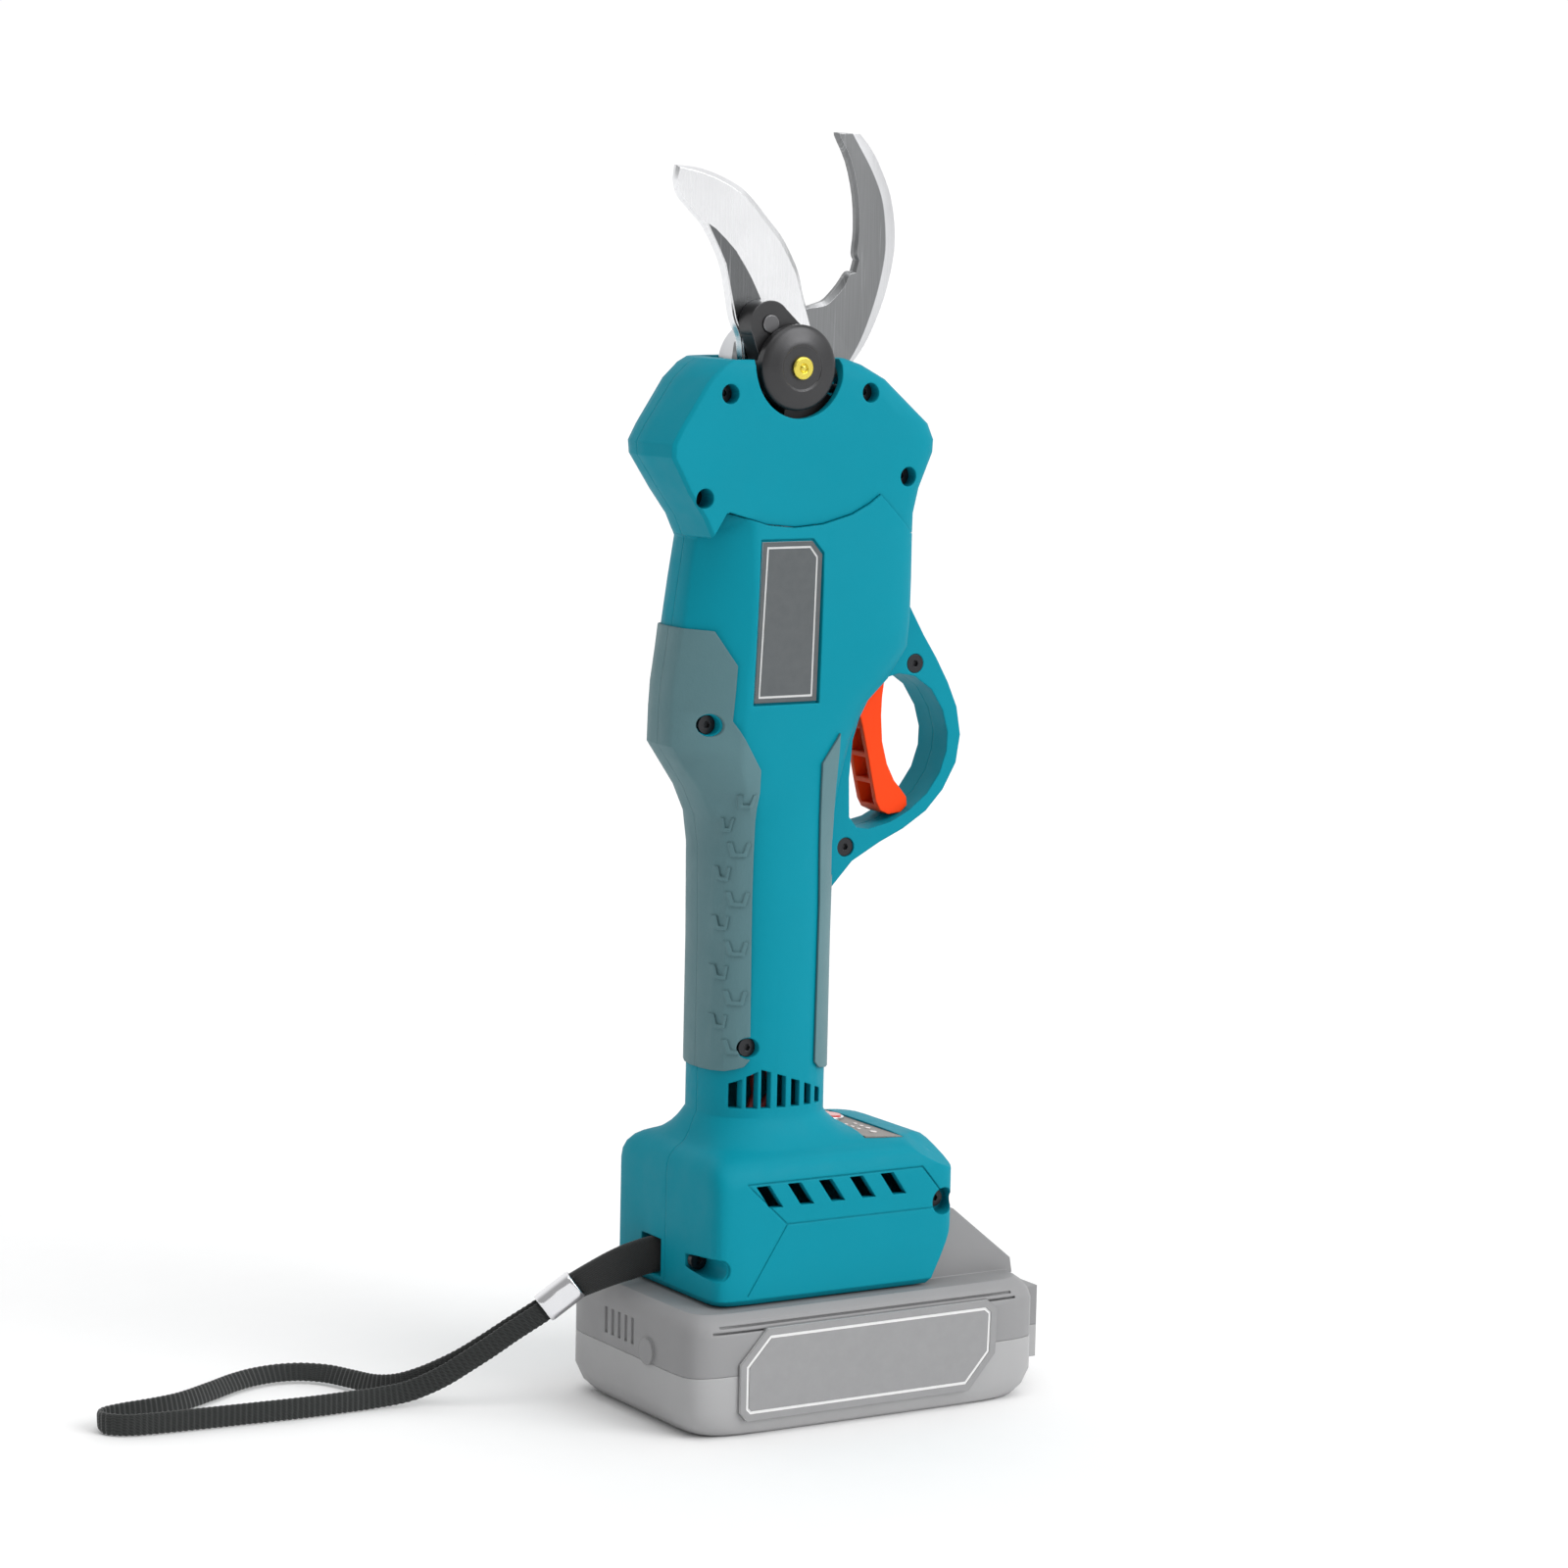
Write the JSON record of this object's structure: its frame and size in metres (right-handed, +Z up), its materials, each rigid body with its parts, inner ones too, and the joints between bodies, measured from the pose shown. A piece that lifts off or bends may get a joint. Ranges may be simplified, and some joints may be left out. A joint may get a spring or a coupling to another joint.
{
  "type": "cordless pruning shears",
  "caption": "Cordless pruning shears: pistol-shaped body with hook and cutting blades, trigger, battery pack and wrist strap.",
  "frame": {"origin": "on the underside of the battery pack, directly below the handle axis", "axes": "+Z up the handle, +X towards the trigger side, -Y is the front face with the rating plate"},
  "size_m": [0.2935, 0.1256, 0.4021],
  "materials": {
    "teal_shell": "fine moulded grain",
    "soft_grip": "matt",
    "plate": "satin",
    "panel": "satin",
    "bright_ring": "polished",
    "light": "gloss",
    "black_screw": "black oxide",
    "orange_trigger": "satin",
    "plain_steel": "ground",
    "copper_wound": "lacquered",
    "black_iron": "blackened",
    "circuit": "satin",
    "cast_alloy": "bead blasted",
    "blade_steel": "ground and polished",
    "hook_steel": "ground, dark flat",
    "brass_fitting": "machined",
    "lead_sleeve": "matt",
    "black_plastic": "matt",
    "webbing": "woven",
    "pack_case": "fine moulded grain",
    "pack_lower": "fine moulded grain",
    "cell_sleeve": "shrink sleeve"
  },
  "bodies": {
    "tool": {"housing_front": "teal_shell", "housing_rear": "teal_shell", "head_cover_front": "teal_shell", "head_cover_rear": "teal_shell", "grip_front": "soft_grip", "grip_rear": "soft_grip", "side_strip_front": "soft_grip", "side_strip_rear": "soft_grip", "rating_plate": "plate", "control_panel": "panel", "button_bezel": "bright_ring", "status_leds": "light", "housing_screws": "black_screw", "trigger_pin": "plain_steel", "trigger_spring": "plain_steel", "sensor_board": "circuit", "motor_can": "plain_steel", "motor_stator": "copper_wound", "gearbox_plate": "plain_steel", "ring_gear": "plain_steel", "output_bearing": "plain_steel", "gear_frame": "cast_alloy", "frame_screws": "black_screw", "fixed_blade": "hook_steel", "pivot_bolt": "plain_steel", "thrust_washer": "black_iron", "pivot_disc": "black_iron", "grease_fitting": "brass_fitting", "controller_board": "circuit", "wiring": "lead_sleeve", "terminal_block": "black_plastic", "terminal_blades": "brass_fitting", "strap_post": "plain_steel", "strap": "webbing", "strap_clamp": "bright_ring"},
    "blade": {"sector_gear": "black_iron", "moving_blade": "blade_steel", "drive_pin": "plain_steel"},
    "output": {"planet_carrier": "plain_steel", "bevel_pinion": "plain_steel"},
    "planet_one": {"planet_a": "plain_steel"},
    "planet_two": {"planet_b": "plain_steel"},
    "planet_three": {"planet_c": "plain_steel"},
    "rotor": {"motor_rotor": "black_iron", "motor_fan": "black_plastic", "sun_gear": "plain_steel"},
    "trigger_arm": {"trigger": "orange_trigger", "trigger_magnet": "plain_steel"},
    "button": {"power_button": "light"},
    "pack": {"pack_top_case": "pack_case", "pack_bottom_case": "pack_lower", "pack_side_plates": "pack_lower", "pack_cells": "cell_sleeve", "pack_strips": "plain_steel", "pack_board": "circuit", "pack_contacts": "brass_fitting", "latch_spring": "plain_steel"},
    "release": {"pack_latch": "black_plastic"}
  },
  "joints": [
    {"name": "blade_pivot", "type": "hinge", "parent": "tool", "child": "blade", "pos_m": [0.0013, -0.005, 0.33], "axis": [0, 1, 0], "range_deg": [0, 50]},
    {"name": "carrier_spin", "type": "hinge", "parent": "tool", "child": "output", "pos_m": [0.0013, 0, 0.29], "axis": [0, 0, 1], "range_deg": [-240, 240]},
    {"name": "planet_a_spin", "type": "hinge", "parent": "output", "child": "planet_one", "pos_m": [0.0013, 0.0094, 0.27], "axis": [0, 0, 1], "range_deg": [-720, 720]},
    {"name": "planet_b_spin", "type": "hinge", "parent": "output", "child": "planet_two", "pos_m": [-0.00684, -0.0047, 0.27], "axis": [0, 0, 1], "range_deg": [-720, 720]},
    {"name": "planet_c_spin", "type": "hinge", "parent": "output", "child": "planet_three", "pos_m": [0.00944, -0.0047, 0.27], "axis": [0, 0, 1], "range_deg": [-720, 720]},
    {"name": "rotor_spin", "type": "hinge", "parent": "tool", "child": "rotor", "pos_m": [0.0013, 0, 0.23], "axis": [0, 0, 1], "range_deg": [-960, 960]},
    {"name": "trigger_pull", "type": "hinge", "parent": "tool", "child": "trigger_arm", "pos_m": [0.035, 0, 0.236], "axis": [0, 1, 0], "range_deg": [0, 10], "stiffness_Nm_per_rad": 0.3, "springref_deg": -14.32},
    {"name": "button_press", "type": "slide", "parent": "tool", "child": "button", "axis": [-0.0872, 0, -0.9962], "range_m": [0, 0.0008], "stiffness_N_per_m": 500, "springref_m": -0.001},
    {"name": "pack_slide", "type": "slide", "parent": "tool", "child": "pack", "axis": [1, 0, 0], "range_m": [0, 0.09]},
    {"name": "release_press", "type": "slide", "parent": "pack", "child": "release", "axis": [-1, 0, 0], "range_m": [0, 0.002], "stiffness_N_per_m": 600, "springref_m": -0.002}
  ],
  "couplings": [
    {"joint": "carrier_spin", "follows": "blade_pivot", "ratio": -4.6667},
    {"joint": "planet_a_spin", "follows": "blade_pivot", "ratio": 14},
    {"joint": "planet_b_spin", "follows": "blade_pivot", "ratio": 14},
    {"joint": "planet_c_spin", "follows": "blade_pivot", "ratio": 14},
    {"joint": "rotor_spin", "follows": "blade_pivot", "ratio": -18.667}
  ]
}
